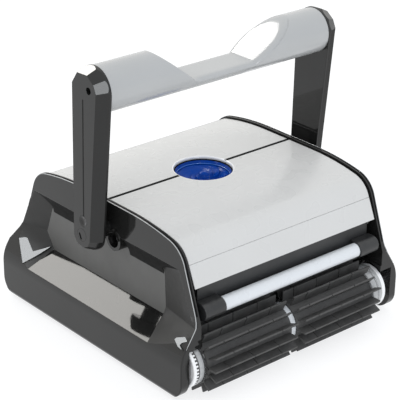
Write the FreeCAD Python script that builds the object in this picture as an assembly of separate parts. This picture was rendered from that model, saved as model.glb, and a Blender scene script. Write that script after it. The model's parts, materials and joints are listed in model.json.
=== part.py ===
"""Robotic pool cleaner: a tub with two arched lids between dished side panels, two brush rollers
driven by belts on the left side, a pump that blows up through the lids, and a tilting float handle.

Millimetres. X runs along the rollers (left side is -X), -Y is the front, +Z is up.
The origin is on the floor, under the middle of the machine.
"""
import FreeCAD, Part
import math
import os

V = FreeCAD.Vector
os.makedirs("parts", exist_ok=True)

# ---------------------------------------------------------------- driving dimensions
WALL = 3.0                      # moulded wall thickness
GAP = 0.3                       # gap between neighbouring mouldings

LID_HALF = 165.0                # half width of the lids
LID_TOP = 216.0                 # height of the flat crown
CROWN_HALF = 50.0               # half length of the flat crown
SLOPE_R = 415.0                 # long arc of the lid
SLOPE_END = math.radians(11.9)  # where the long arc ends
SHOULDER_R = 38.6               # arc over the shoulder
FRONT_ANGLE = math.radians(66.8)  # steep front face of the lid
PARTING_Z = 181.0               # joint between lid and fascia
FASCIA_BOTTOM = 151.6
GROOVE = 2.4                    # slot between the two lids

OUTLET_R = 41.5                 # round recess in the lids
CUP_TOP = 211.0                 # rim of the blue duct
IMPELLER_Z = 199.0              # middle height of the propeller
IMPELLER_BLADES = 6

TUB_HALF = 156.5                # half width of the tub
TUB_FRONT = 171.2               # front and rear walls of the tub
TUB_FLOOR = 14.0
TUB_INSET = 122.0               # tub wall behind the rollers
FENDER_R = 49.9                 # arched wall over each roller

AXLE_Y = 171.9                  # roller axles, front and rear
AXLE_Z = 46.2
BRUSH_R = 46.2                  # tip of the rubber blades
CORE_R = 28.0
AXLE_R = 5.0
BORE_R = 5.06
WHEEL_R = 31.8
TRACK_R = 29.3                  # belt track on the wheel
WHEEL_OUT = {"front": -187.0, "rear": -184.5}   # outer faces of the driven wheels
WHEEL_IN = -170.0
BRUSH_SPANS = ((-164.5, -14.0), (-4.0, 147.0))
SEGMENT = 43.5                  # length of a blade segment
BLADES = 16
BLADE_T = 2.4
RING_SPAN = (155.0, 168.0)      # plain end ring, right side

DRIVE_Z = 36.0                  # drive shaft height
PULLEY_R = 7.7
BELT_T = 1.9
BELT_TRACKS = {"front": (-183.0, -178.4), "rear": (-177.6, -173.0)}

PANEL_IN = 160.0                # inner limit of the side panels
PANEL_UPPER_IN = 168.0
PANEL_UPPER = 174.5             # outer face of the upper panel
PANEL_SKIRT = 201.7             # outer face of the skirt
PANEL_FRONT = -193.4
PANEL_REAR = 211.0
PANEL_BOTTOM = 4.0
RIM_R = 1.8                     # rounding of the panel's outer rim
WELL_OUT = {"front": 188.3, "rear": 185.4}      # inner face of the panel beside each wheel
WELL_R = {"front": 36.0, "rear": 33.4}

PIVOT_Y, PIVOT_Z = -1.0, 178.0  # handle pivot
PIVOT_R = 5.0
ARM_IN, ARM_OUT = 193.0, 213.0
GRIP_Y, GRIP_Z, GRIP_R = -12.0, 381.7, 32.2
BUTTON_Y, BUTTON_Z, BUTTON_R = -4.5, 199.0, 7.8
ARM_SHOULDER, ARM_BEVEL = 196.0, 8.0    # where the bevel starts, and how far it draws in
ARM_FACETS = ((GRIP_Y, GRIP_Z, GRIP_R + 0.8, (25, 53, 93, 145)), (PIVOT_Y, PIVOT_Z, 25.5, (-28, -62, -97, -145)))
GRIP_SCREW_Y, GRIP_SCREW_Z = -22.0, 387.0

BAR_Y, BAR_Z, BAR_R, BAR_HALF = 181.5, 118.3, 10.0, 124.4
WELL_Y, WELL_Z = (-20.5, 19.5), 166.0   # screw wells beside the pivot

SLOT_Y = 87.0                   # middle of each suction slot
TAB_X, TAB_Y = 112.0, 105.0     # lock tabs under the bottom plate


# ---------------------------------------------------------------- helpers
def box(x0, x1, y0, y1, z0, z1):
    return Part.makeBox(x1 - x0, y1 - y0, z1 - z0, V(x0, y0, z0))


def rod_x(x0, x1, y, z, r):
    return Part.makeCylinder(r, x1 - x0, V(x0, y, z), V(1, 0, 0))


def rod_z(x, y, z0, z1, r):
    return Part.makeCylinder(r, z1 - z0, V(x, y, z0), V(0, 0, 1))


def tube_x(x0, x1, y, z, r_out, r_in):
    return rod_x(x0, x1, y, z, r_out).cut(rod_x(x0 - 1, x1 + 1, y, z, r_in))


def prism_x(points, x0, x1):
    """Polygon of (y, z) points, extruded along X."""
    loop = [V(x0, y, z) for y, z in points]
    return Part.Face(Part.makePolygon(loop + loop[:1])).extrude(V(x1 - x0, 0, 0))


def prism_y(points, y0, y1):
    """Polygon of (x, z) points, extruded along Y."""
    loop = [V(x, y0, z) for x, z in points]
    return Part.Face(Part.makePolygon(loop + loop[:1])).extrude(V(0, y1 - y0, 0))


def around_z(shape, degrees):
    """Turned copy about the vertical axis."""
    turned = shape.copy()
    turned.rotate(V(0, 0, 0), V(0, 0, 1), degrees)
    return turned


def fused(shapes):
    return shapes[0].fuse(shapes[1:]).removeSplitter() if len(shapes) > 1 else shapes[0]


def mirror_x(shape):
    return shape.mirror(V(0, 0, 0), V(1, 0, 0))


def mirror_y(shape):
    return shape.mirror(V(0, 0, 0), V(0, 1, 0))


def write(name, shape):
    shape.exportStep("parts/" + name + ".step")


# ---------------------------------------------------------------- lid profile
def arch_points(depth):
    """Points of the front half of the lid's section, the given depth below its outer surface."""
    centre = (-CROWN_HALF, LID_TOP - SLOPE_R)
    shoulder = (centre[0] - (SLOPE_R - SHOULDER_R) * math.sin(SLOPE_END),
                centre[1] + (SLOPE_R - SHOULDER_R) * math.cos(SLOPE_END))

    def on(c, r, a):
        return V(0, c[0] - r * math.sin(a), c[1] + r * math.cos(a))

    mid = (SLOPE_END + FRONT_ANGLE) / 2
    return [on(centre, SLOPE_R - depth, 0), on(centre, SLOPE_R - depth, SLOPE_END / 2),
            on(centre, SLOPE_R - depth, SLOPE_END), on(shoulder, SHOULDER_R - depth, mid),
            on(shoulder, SHOULDER_R - depth, FRONT_ANGLE)]


def down_front(depth, z):
    """Point at height z on the straight front face of the lid's section."""
    end = arch_points(depth)[-1]
    return V(0, end.y - (end.z - z) / math.tan(FRONT_ANGLE), z)


def arch_edges(depth, start_y, end_z):
    """Edges of the section from start_y on the crown to end_z on the front face."""
    crown, m1, bend, m2, low = arch_points(depth)
    return [Part.LineSegment(V(0, start_y, LID_TOP - depth), crown).toShape(),
            Part.Arc(crown, m1, bend).toShape(), Part.Arc(bend, m2, low).toShape(),
            Part.LineSegment(low, down_front(depth, end_z)).toShape()]


def arch_shell(start_y, end_z, thickness):
    outer = arch_edges(0, start_y, end_z)
    inner = arch_edges(thickness, start_y, end_z)
    ends = [Part.LineSegment(down_front(0, end_z), down_front(thickness, end_z)).toShape(),
            Part.LineSegment(V(0, start_y, LID_TOP), V(0, start_y, LID_TOP - thickness)).toShape()]
    wire = Part.Wire(Part.__sortEdges__(outer + inner + ends))
    shell = Part.Face(wire).extrude(V(2 * LID_HALF, 0, 0))
    shell.translate(V(-LID_HALF, 0, 0))
    return shell


# ---------------------------------------------------------------- lids and fascias
def lid(rounded_edge):
    """Front lid half, with a lip at the groove and half of the collar round the outlet."""
    edge_y = -GROOVE / 2
    shell = arch_shell(edge_y, PARTING_Z + 0.3, WALL)
    lip = box(-LID_HALF, LID_HALF, edge_y - 5, edge_y, LID_TOP - 9, LID_TOP - 1)
    collar = rod_z(0, 0, LID_TOP - 9, LID_TOP - 1, OUTLET_R + 3)
    collar = collar.cut(box(-60, 60, edge_y, 60, 0, 300))
    body = fused([shell, lip, collar])
    if rounded_edge:
        top = [e for e in body.Edges if e.BoundBox.YLength < 0.01 and e.BoundBox.ZLength < 0.01
               and abs(e.BoundBox.YMin - edge_y) < 0.01 and abs(e.BoundBox.ZMin - LID_TOP) < 0.01]
        body = body.makeFillet(4.0, top)
    body = body.cut(rod_z(0, 0, 150, 230, OUTLET_R))
    bevel = Part.makeCone(OUTLET_R, OUTLET_R + 2, 2, V(0, 0, LID_TOP - 1.6))
    return body.cut(bevel)


def fascia():
    """Front strip below the lid."""
    top, bottom = PARTING_Z - 0.1, FASCIA_BOTTOM
    corners = [down_front(0, top), down_front(0, bottom), down_front(WALL, bottom), down_front(WALL, top)]
    return prism_x([(p.y, p.z) for p in corners], -LID_HALF, LID_HALF)


def lid_seal():
    """Dark strip that closes the groove from below and carries both lips."""
    strip = box(-TUB_HALF + WALL + GAP, TUB_HALF - WALL - GAP, -7, 7, LID_TOP - 14, LID_TOP - 9)
    blade = box(-LID_HALF, LID_HALF, -GROOVE / 2 + 0.1, GROOVE / 2 - 0.1, LID_TOP - 9, LID_TOP - 4)
    hole = rod_z(0, 0, 150, 230, OUTLET_R + 3.2)
    return fused([strip, blade]).cut(hole)


def rim_gasket():
    """Black strip between the left edge of the lids and the side panel, following the arch."""
    return arch_band(1.2, 6.0, FASCIA_BOTTOM, -PANEL_UPPER_IN, -LID_HALF - 0.1)


def arch_band(depth, thickness, end_z, x0, x1):
    """Strip that follows the whole lid profile, front to rear."""
    outer = arch_edges(depth, 0, end_z)
    inner = arch_edges(depth + thickness, 0, end_z)
    ends = [Part.LineSegment(down_front(depth, end_z), down_front(depth + thickness, end_z)).toShape(),
            Part.LineSegment(V(0, 0, LID_TOP - depth), V(0, 0, LID_TOP - depth - thickness)).toShape()]
    front = Part.Face(Part.Wire(Part.__sortEdges__(outer + inner + ends))).extrude(V(x1 - x0, 0, 0))
    front.translate(V(x0, 0, 0))
    return fused([front, mirror_y(front)])


# ---------------------------------------------------------------- tub and bottom
def tub_outline(inset):
    """Front half of the tub's ring wall: (edges from the bottom centre round to the top centre)."""
    r = FENDER_R + inset
    wall_y = -TUB_FRONT + inset
    top_z = FASCIA_BOTTOM - 0.6
    low = V(0, -TUB_INSET + inset, TUB_FLOOR)
    arc_start = V(0, -AXLE_Y + r, AXLE_Z)
    arc_mid = V(0, -AXLE_Y + r * math.cos(math.radians(50)), AXLE_Z + r * math.sin(math.radians(50)))
    arc_end = V(0, wall_y, AXLE_Z + math.sqrt(r * r - (AXLE_Y + wall_y) ** 2))
    points = [V(0, 0, TUB_FLOOR), low, arc_start]
    edges = [Part.LineSegment(a, b).toShape() for a, b in zip(points, points[1:]) if (a - b).Length > 0.01]
    edges.append(Part.Arc(arc_start, arc_mid, arc_end).toShape())
    edges.append(Part.LineSegment(arc_end, V(0, wall_y, top_z)).toShape())
    edges.append(Part.LineSegment(V(0, wall_y, top_z), V(0, 0, top_z)).toShape())
    edges.append(Part.LineSegment(V(0, 0, top_z), V(0, 0, TUB_FLOOR)).toShape())
    return Part.Face(Part.Wire(Part.__sortEdges__(edges)))


def tub_solid(inset, half):
    front = tub_outline(inset).extrude(V(2 * half, 0, 0))
    front.translate(V(-half, 0, 0))
    return fused([front, mirror_y(front)])


def arch_web(x0, x1):
    """Upper side wall of the tub, reaching up to the underside of the lids."""
    depth = WALL + GAP
    bottom = FASCIA_BOTTOM - 5
    edges = arch_edges(depth, 0, FASCIA_BOTTOM)
    foot = down_front(depth, FASCIA_BOTTOM)
    path = [foot, V(0, foot.y, bottom), V(0, 0, bottom), V(0, 0, LID_TOP - depth)]
    edges += [Part.LineSegment(a, b).toShape() for a, b in zip(path, path[1:])]
    front = Part.Face(Part.Wire(Part.__sortEdges__(edges))).extrude(V(x1 - x0, 0, 0))
    front.translate(V(x0, 0, 0))
    return fused([front, mirror_y(front)])


def chassis_tub():
    ring = tub_solid(0, TUB_HALF).cut(tub_solid(WALL, TUB_HALF - WALL))
    opening = box(-TUB_HALF + WALL, TUB_HALF - WALL, -TUB_FRONT + WALL, TUB_FRONT - WALL,
                  FASCIA_BOTTOM - 5, FASCIA_BOTTOM + 5)
    ring = ring.cut(opening)
    web = arch_web(-TUB_HALF, -TUB_HALF + WALL)
    tub = fused([ring, web, mirror_x(web)])
    notch = box(-LID_HALF, LID_HALF, -7.3, 7.3, LID_TOP - 14.3, LID_TOP)
    tub = tub.cut(notch).cut(rod_x(-170, -150, 0, DRIVE_Z, 4.6))
    for y in WELL_Y:
        tub = tub.cut(rod_x(-170, 170, y, WELL_Z, 2.6))
    return tub


def bottom_plate():
    plate = box(-TUB_HALF + WALL + GAP, TUB_HALF - WALL - GAP, -TUB_INSET + WALL + GAP,
                TUB_INSET - WALL - GAP, TUB_FLOOR, TUB_FLOOR + 3)
    for side in (-1, 1):
        y = side * SLOT_Y
        plate = plate.fuse(box(-62, 62, y - 9, y + 9, TUB_FLOOR, TUB_FLOOR + 10))
        plate = plate.cut(box(-60, 60, y - 7, y + 7, 0, TUB_FLOOR + 20))
        for x in (-62.0, 58.0):
            lug = box(x, x + 4, side * 74 - 3, side * 74 + 3, TUB_FLOOR + 2, TUB_FLOOR + 14)
            plate = plate.fuse(lug)
        plate = plate.cut(rod_x(-70, 70, side * 74, TUB_FLOOR + 11.2, 1.56))
        for x in (-TAB_X, TAB_X):
            plate = plate.cut(rod_z(x, side * TAB_Y, 0, 30, 3.06))
    return plate.removeSplitter()


def intake_flap():
    """Rear flap: a plate over the suction slot, on a pin along its inner edge."""
    z = TUB_FLOOR + 11.2
    pin = rod_x(-61.8, 61.8, 74, z, 1.5)
    leaf = box(-57.6, 57.6, 74, SLOT_Y + 9, z - 0.9, z + 0.9)
    return fused([pin, leaf])


def lock_tab(x, y):
    """Turning tab: its lever reaches under the tub's wall, its pin goes up through the plate."""
    out = 1 if y > 0 else -1
    disc = rod_z(x, y, TUB_FLOOR - 4, TUB_FLOOR - 0.3, 9)
    lever = box(x - 5, x + 5, min(y, y + out * 16.5), max(y, y + out * 16.5), TUB_FLOOR - 4, TUB_FLOOR - 0.3)
    pin = rod_z(x, y, TUB_FLOOR - 1, TUB_FLOOR + 5, 3)
    head = rod_z(x, y, TUB_FLOOR + 3.3, TUB_FLOOR + 5.5, 5)
    return fused([disc, lever, pin, head])


def filter_bag():
    """Rear filter bag: a thin-walled box, open over the suction slot."""
    outer = box(-140, 140, 40, 116, TUB_FLOOR + 3.3, 142)
    inner = box(-138, 138, 42, 114, TUB_FLOOR, 140)
    return outer.cut(inner)


def bag_frame():
    """Rear wire frame that holds the bag open."""
    xs, ys, top, r = (-134.0, 134.0), (46.0, 110.0), 136.0, 1.5
    wires = [rod_z(x, y, TUB_FLOOR + 3.1, top, r) for x in xs for y in ys]
    wires += [rod_x(xs[0], xs[1], y, top, r) for y in ys]
    wires += [Part.makeCylinder(r, ys[1] - ys[0], V(x, ys[0], top), V(0, 1, 0)) for x in xs]
    wires += [Part.makeSphere(r, V(x, y, top)) for x in xs for y in ys]
    return fused(wires)


# ---------------------------------------------------------------- side panels
def panel_outline(x0, x1):
    """Outline of the left side panel in the YZ plane: arched top, slanted front, rounded feet."""
    rise = 2.5
    crown, m1, bend, m2, low = arch_points(-rise)
    nose = V(0, PANEL_FRONT, 106)

    def back(p):
        return V(0, -p.y, p.z)

    foot_r = 26.0
    front_foot = (PANEL_FRONT + foot_r, PANEL_BOTTOM + foot_r)
    rear_foot = (PANEL_REAR - foot_r, PANEL_BOTTOM + foot_r)
    h = foot_r * math.sqrt(0.5)
    waist = V(0, PANEL_REAR, 86)
    points = [
        ("line", crown, back(crown)),
        ("arc", crown, m1, bend), ("arc", bend, m2, low), ("line", low, nose),
        ("line", nose, V(0, PANEL_FRONT, front_foot[1])),
        ("arc", V(0, PANEL_FRONT, front_foot[1]), V(0, front_foot[0] - h, front_foot[1] - h),
         V(0, front_foot[0], PANEL_BOTTOM)),
        ("line", V(0, front_foot[0], PANEL_BOTTOM), V(0, rear_foot[0], PANEL_BOTTOM)),
        ("arc", V(0, rear_foot[0], PANEL_BOTTOM), V(0, rear_foot[0] + h, rear_foot[1] - h),
         V(0, PANEL_REAR, rear_foot[1])),
        ("line", V(0, PANEL_REAR, rear_foot[1]), waist),
        ("arc", back(crown), back(m1), back(bend)), ("arc", back(bend), back(m2), back(low)),
        ("arc", back(low), V(0, 188, 131), waist),
    ]
    edges = [Part.Arc(*p[1:]).toShape() if p[0] == "arc" else Part.LineSegment(*p[1:]).toShape()
             for p in points]
    solid = Part.Face(Part.Wire(Part.__sortEdges__(edges))).extrude(V(x1 - x0, 0, 0))
    solid.translate(V(x0, 0, 0))
    return solid


def panel_section():
    """Section of the left panel in the XZ plane: upright above, flared skirt below."""
    upper, skirt = -PANEL_UPPER, -PANEL_SKIRT
    inner = -PANEL_IN
    a, b = V(upper, -220, 118), V(upper - 5.5, -220, 101)
    c, d = V(-192, -220, 82.5), V(skirt, -220, 52)
    e, f = V(skirt, -220, 14), V(skirt + 6, -220, PANEL_BOTTOM)
    edges = [Part.LineSegment(V(inner, -220, 230), V(upper, -220, 230)).toShape(),
             Part.LineSegment(V(upper, -220, 230), a).toShape(),
             Part.Arc(a, V(upper - 1.4, -220, 109), b).toShape(),
             Part.LineSegment(b, c).toShape(),
             Part.Arc(c, V(-199.3, -220, 68.5), d).toShape(),
             Part.LineSegment(d, e).toShape(),
             Part.Arc(e, V(skirt + 1.5, -220, 7), f).toShape(),
             Part.LineSegment(f, V(inner, -220, PANEL_BOTTOM)).toShape(),
             Part.LineSegment(V(inner, -220, PANEL_BOTTOM), V(inner, -220, 230)).toShape()]
    return Part.Face(Part.Wire(Part.__sortEdges__(edges))).extrude(V(0, 440, 0))


def rounded_rim(solid):
    """The panel with its outer rim rounded, where the outline meets the section's faces."""
    rim = []
    for edge in solid.Edges:
        faces = solid.ancestorsOfType(edge, Part.Face)
        if edge.BoundBox.XMax > -PANEL_IN - 0.5 or len(faces) != 2:
            continue
        middle = edge.valueAt((edge.FirstParameter + edge.LastParameter) / 2)
        normals = [f.normalAt(*f.Surface.parameter(middle)) for f in faces]
        if normals[0].getAngle(normals[1]) > math.radians(25):
            rim.append(edge)
    return solid.makeFillet(RIM_R, rim)


DISH_FLOOR = ((-107, 85.5), (140, 85.5), (155, 110), (138, 157), (-109, 157), (-112, 98))
DISH_MOUTH = ((-125, 61), (150, 61), (291, 118), (215, 211), (-256, 211), (-331, 114))


def dish_cutter():
    """Tapered hollow of the left panel: floor at the inner plane, mouth well outside the skirt."""
    floor_x, mouth_x = -PANEL_IN, -205.0
    wires = []
    for x, loop in ((floor_x, DISH_FLOOR), (mouth_x, DISH_MOUTH)):
        pts = [V(x, y, z) for y, z in loop]
        wires.append(Part.makePolygon(pts + pts[:1]))
    through = prism_x(DISH_FLOOR, floor_x, floor_x + 10)
    return Part.makeLoft(wires, True, True).fuse(through)


def panel_cavity():
    """Room inside the left skirt for belts and wheels."""
    middle = prism_y([(-150, 82.4), (-PANEL_IN, 82.4), (-197.5, 62), (-197.5, 8), (-150, 8)], -138, 156)
    wells = [belt_envelope("front", -1, 0.9), belt_envelope("rear", 1, 0.9)]
    for end, y, open_y in (("front", -AXLE_Y, -230), ("rear", AXLE_Y, 230)):
        x, r = -WELL_OUT[end], WELL_R[end]
        wells.append(rod_x(x, -150, y, AXLE_Z, r))
        wells.append(rod_x(-166, -150, y, AXLE_Z, BRUSH_R + 1.2))
        wells.append(box(x, -150, min(y, open_y), max(y, open_y), AXLE_Z, AXLE_Z + r * 0.8))
        wells.append(box(x, -150, min(y - r, open_y), max(y + r, open_y), -1, AXLE_Z))
    return middle, wells


def side_panel():
    """Left side panel."""
    envelope = rounded_rim(panel_outline(-PANEL_SKIRT - 5, -PANEL_IN).common(panel_section()))
    inner_relief = box(-PANEL_UPPER_IN, -150, -230, 230, 172, 240)
    ends = [box(-PANEL_UPPER_IN, -150, -230, -158, 84, 240), box(-PANEL_UPPER_IN, -150, 186, 230, 84, 240),
            box(-PANEL_UPPER_IN, -150, 160, 230, 150, 240)]
    bosses = [rod_x(-PANEL_UPPER - 1.5, -PANEL_IN, y, WELL_Z, 15.5) for y in WELL_Y]
    bosses.append(rod_x(-ARM_IN + GAP, -PANEL_UPPER_IN, PIVOT_Y, PIVOT_Z, 13))
    body = envelope.cut(inner_relief)
    for piece in ends:
        body = body.cut(piece)
    body = body.cut(dish_cutter())
    for piece in bosses:
        body = body.fuse(piece)
    middle, wells = panel_cavity()
    body = body.cut(middle)
    for piece in wells:
        body = body.cut(piece)
    for y in WELL_Y:
        body = body.cut(rod_x(-180, -163, y, WELL_Z, 10.5))
        body = body.cut(rod_x(-165, -150, y, WELL_Z, 2.6))
    for y in (-AXLE_Y, AXLE_Y):
        body = body.cut(rod_x(-196.5, -180, y, AXLE_Z, AXLE_R))
    body = body.cut(rod_x(-200, -176, PIVOT_Y, PIVOT_Z, PIVOT_R))
    return body.removeSplitter()


def pocket_liner():
    """Lighter plate behind the hollow of the left panel."""
    grow = [(-118, 82), (152, 82), (164, 108), (146, 162), (-118, 162), (-122, 98)]
    plate = prism_x(grow, -PANEL_IN + 0.1, -TUB_HALF - 0.1)
    plate = plate.cut(rod_x(-170, -150, AXLE_Y, AXLE_Z, BRUSH_R + 1.2))
    for y in WELL_Y:
        plate = plate.cut(rod_x(-170, -150, y, WELL_Z, 2.6))
    return plate


def panel_screws():
    """Screws in the wells of both side panels."""
    screws = []
    for y in WELL_Y:
        head = rod_x(-167, -163, y, WELL_Z, 5).cut(box(-168, -165.8, y - 3, y + 3, WELL_Z - 0.6, WELL_Z + 0.6))
        screws.append(head.fuse(rod_x(-163.1, -TUB_HALF + 4, y, WELL_Z, 2.5)))
    return Part.makeCompound(screws + [mirror_x(s) for s in screws])


# ---------------------------------------------------------------- rollers (front)
def roller_core():
    """White tube with a solid web at the right end."""
    tube = tube_x(WHEEL_IN, RING_SPAN[0] - 3, -AXLE_Y, AXLE_Z, CORE_R, CORE_R - 3)
    collar = tube_x(WHEEL_IN, WHEEL_IN + 4, -AXLE_Y, AXLE_Z, WHEEL_R + 0.8, CORE_R - 1)
    return fused([tube, collar])


def drive_wheel(end):
    """Driven end wheel: outer disc, toothed belt track, inner band and a hub on the axle."""
    outer_face, track = WHEEL_OUT[end], BELT_TRACKS[end]
    body = rod_x(outer_face, WHEEL_IN, -AXLE_Y, AXLE_Z, WHEEL_R)
    body = body.cut(tube_x(track[0], track[1], -AXLE_Y, AXLE_Z, WHEEL_R + 2, TRACK_R - 1.2))
    tooth = box(track[0], track[1], -1.3, 1.3, TRACK_R - 2, TRACK_R)
    teeth = []
    for i in range(32):
        t = tooth.copy()
        t.rotate(V(0, 0, 0), V(1, 0, 0), i * 360 / 32)
        t.translate(V(0, -AXLE_Y, AXLE_Z))
        teeth.append(t)
    dish = tube_x(outer_face - 1, outer_face + 3, -AXLE_Y, AXLE_Z, WHEEL_R - 4, 10)
    body = body.fuse(teeth).cut(dish).cut(rod_x(-200, -150, -AXLE_Y, AXLE_Z, 8))
    return body.removeSplitter()


def end_ring():
    """Plain ring at the right end, on a web and hub."""
    ring = tube_x(RING_SPAN[0], RING_SPAN[1], -AXLE_Y, AXLE_Z, WHEEL_R, CORE_R - 1)
    neck = tube_x(RING_SPAN[0] - 3, RING_SPAN[0], -AXLE_Y, AXLE_Z, WHEEL_R - 3, CORE_R - 4)
    web = tube_x(RING_SPAN[0], RING_SPAN[0] + 4, -AXLE_Y, AXLE_Z, CORE_R, 8)
    hub = tube_x(RING_SPAN[0], RING_SPAN[1], -AXLE_Y, AXLE_Z, 12, 8)
    return fused([ring, neck, web, hub])


def roller_bushes(end):
    """Bearing bushes in both hubs."""
    left = tube_x(WHEEL_OUT[end], WHEEL_IN, -AXLE_Y, AXLE_Z, 8, BORE_R)
    right = tube_x(RING_SPAN[0], RING_SPAN[1], -AXLE_Y, AXLE_Z, 8, BORE_R)
    return Part.makeCompound([left, right])


def brush(span, first_slit):
    """Rubber sleeve with blades cut into segments; slits step sideways from blade to blade."""
    x0, x1 = span
    parts = [tube_x(x0, x1, 0, 0, CORE_R + 2.5, CORE_R)]
    for i in range(BLADES):
        step = 4.5 if i % 2 else -4.5
        start, end = x0 + (4 if i % 2 else 0), x1 - (0 if i % 2 else 4)
        blade = box(start, end, -BLADE_T / 2, BLADE_T / 2, CORE_R + 1, BRUSH_R)
        slit = first_slit + step
        while slit < end - 6:
            if slit > start + 6:
                blade = blade.cut(box(slit - 0.6, slit + 0.6, -5, 5, CORE_R + 4, BRUSH_R + 1))
            slit += SEGMENT
        blade.rotate(V(0, 0, 0), V(1, 0, 0), i * 360 / BLADES + 180)
        parts.append(blade)
    sleeve = fused(parts)
    sleeve.translate(V(0, -AXLE_Y, AXLE_Z))
    return sleeve


def axle(end):
    """Fixed steel axle with spacers against the right panel."""
    shaft = rod_x(-196, 196, -AXLE_Y, AXLE_Z, AXLE_R)
    spacer = tube_x(RING_SPAN[1] + 0.3, WELL_OUT[end], -AXLE_Y, AXLE_Z, 9, AXLE_R)
    return fused([shaft, spacer])


# ---------------------------------------------------------------- bumper bars (front)
def bumper_bar():
    bar = rod_x(-BAR_HALF, BAR_HALF, -BAR_Y, BAR_Z, BAR_R)
    ends = [rod_x(-BAR_HALF - 6, -BAR_HALF, -BAR_Y, BAR_Z, 4), rod_x(BAR_HALF, BAR_HALF + 6, -BAR_Y, BAR_Z, 4)]
    return fused([bar] + ends)


def bumper_blocks():
    """Dark blocks at both ends of the bar."""
    block = rod_x(-PANEL_IN + 0.1, -BAR_HALF - 0.1, -BAR_Y, BAR_Z, 12)
    block = block.fuse(box(-PANEL_IN + 0.1, -BAR_HALF - 0.1, -BAR_Y, -TUB_FRONT + 5, BAR_Z - 12, BAR_Z + 12))
    block = block.cut(box(-200, 0, -TUB_FRONT - 0.1, 0, 0, 300))
    block = block.cut(rod_x(-BAR_HALF - 6.2, -BAR_HALF, -BAR_Y, BAR_Z, 4.05)).removeSplitter()
    return [block, mirror_x(block)]


# ---------------------------------------------------------------- pump and drives
def outlet_cup():
    """Blue duct under the recess, standing on four legs, with a slotted floor that guides the shaft."""
    r_out, r_in, floor = OUTLET_R - 0.4, OUTLET_R - 4, 180
    tube = rod_z(0, 0, floor, CUP_TOP, r_out)
    top = [e for e in tube.Edges if abs(e.BoundBox.ZMin - CUP_TOP) < 0.01 and e.BoundBox.ZLength < 0.01]
    tube = tube.makeFillet(2.5, top).cut(rod_z(0, 0, floor + 2.5, 220, r_in))
    legs = [around_z(box(r_in - 2, r_out, -6, 6, 157, floor + 1), 45 + 90 * i) for i in range(4)]
    slots = [around_z(box(14, 32, -5, 5, floor - 1, floor + 4), 36 + 72 * i) for i in range(5)]
    hub = rod_z(0, 0, floor, floor + 6, 8)
    body = fused([tube, hub] + [leg.common(rod_z(0, 0, 150, 200, r_out)) for leg in legs])
    for slot in slots:
        body = body.cut(slot)
    return body.cut(rod_z(0, 0, 170, 220, 2.56))


def impeller():
    """Propeller with wide pitched blades and a domed hub."""
    hub = rod_z(0, 0, 187, 205, 8).fuse(Part.makeSphere(8, V(0, 0, 204)))
    blades = []
    for i in range(IMPELLER_BLADES):
        blade = Part.makeCylinder(50, 1.8, V(0, 0, -0.9), V(0, 0, 1), 58)
        blade.rotate(V(0, 0, 0), V(0, 0, 1), -29)
        blade.rotate(V(0, 0, 0), V(1, 0, 0), 20)
        blade.translate(V(0, 0, IMPELLER_Z))
        blades.append(around_z(blade.cut(box(-60, 5, -60, 60, 100, 260)), i * 360 / IMPELLER_BLADES))
    body = fused([hub] + blades).common(rod_z(0, 0, 150, 230, 36.9))
    return body.cut(rod_z(0, 0, 180, 206.02, 2.52))


def impeller_shaft():
    return rod_z(0, 0, 139, 206, 2.5)


def motor_housing():
    """Sealed can for both motors, open at the top under its cover."""
    outer = box(-75, 75, -35, 35, TUB_FLOOR + 3.2, 150)
    outer = outer.makeFillet(8, [e for e in outer.Edges if abs(e.BoundBox.ZLength) > 100])
    inner = box(-72, 72, -32, 32, TUB_FLOOR + 6.2, 151)
    return outer.cut(inner).cut(rod_x(-80, -70, 0, DRIVE_Z, 4.06))


def motor_cover():
    plate = box(-75, 75, -35, 35, 150, 154)
    plate = plate.makeFillet(8, [e for e in plate.Edges if abs(e.BoundBox.ZLength) > 3.9
                                 and e.BoundBox.XLength < 0.01 and e.BoundBox.YLength < 0.01])
    seat = rod_z(0, 0, 153, 157, OUTLET_R - 0.4)
    return fused([plate, seat]).cut(rod_z(0, 0, 140, 160, 6))


def shaft_seal():
    return rod_z(0, 0, 150, 158, 6).cut(rod_z(0, 0, 140, 160, 2.56))


def pump_motor():
    can = rod_z(0, 0, 56, 136, 24)
    boss = rod_z(0, 0, 136, 138.5, 8)
    return fused([can, boss])


def drive_motor():
    """Gear motor lying along X; its output end faces the left side."""
    return fused([rod_x(-40, 40, 0, DRIVE_Z, 14), box(-64, -40, -13, 13, DRIVE_Z - 13, DRIVE_Z + 13)])


def control_board():
    board = box(32, 64, 24, 25.6, 56, 140)
    chips = [box(38, 54, 18, 24, 70, 86), box(40, 58, 20, 24, 100, 118), box(36, 44, 16, 24, 124, 134)]
    return fused([board] + chips)


def drive_shaft():
    """Output shaft with the two-track pulley at its left end."""
    shaft = rod_x(-185, -64.2, 0, DRIVE_Z, 4)
    pulley = rod_x(-184, -172, 0, DRIVE_Z, PULLEY_R)
    flanges = [rod_x(x0, x1, 0, DRIVE_Z, 10.5) for x0, x1 in ((-184, -183.3), (-178.2, -177.8), (-172.7, -172))]
    return fused([shaft, pulley] + flanges)


def belt(name, side):
    """Belt loop round the drive pulley and one wheel (side -1 front, 1 rear)."""
    x0, x1 = BELT_TRACKS[name][0] + 0.4, BELT_TRACKS[name][1] - 0.4
    inner = loop_solid(x0 - 1, x1 + 1, side * AXLE_Y, AXLE_Z, TRACK_R + 0.3, PULLEY_R + 0.3)
    outer = loop_solid(x0, x1, side * AXLE_Y, AXLE_Z, TRACK_R + 0.3 + BELT_T, PULLEY_R + 0.3 + BELT_T)
    return outer.cut(inner)


def belt_envelope(name, side, margin):
    """Room that a belt needs, the margin wider all round."""
    x0, x1 = BELT_TRACKS[name]
    grow = 0.3 + BELT_T + margin
    return loop_solid(x0 - margin, x1 + margin, side * AXLE_Y, AXLE_Z, TRACK_R + grow, PULLEY_R + grow)


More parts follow.
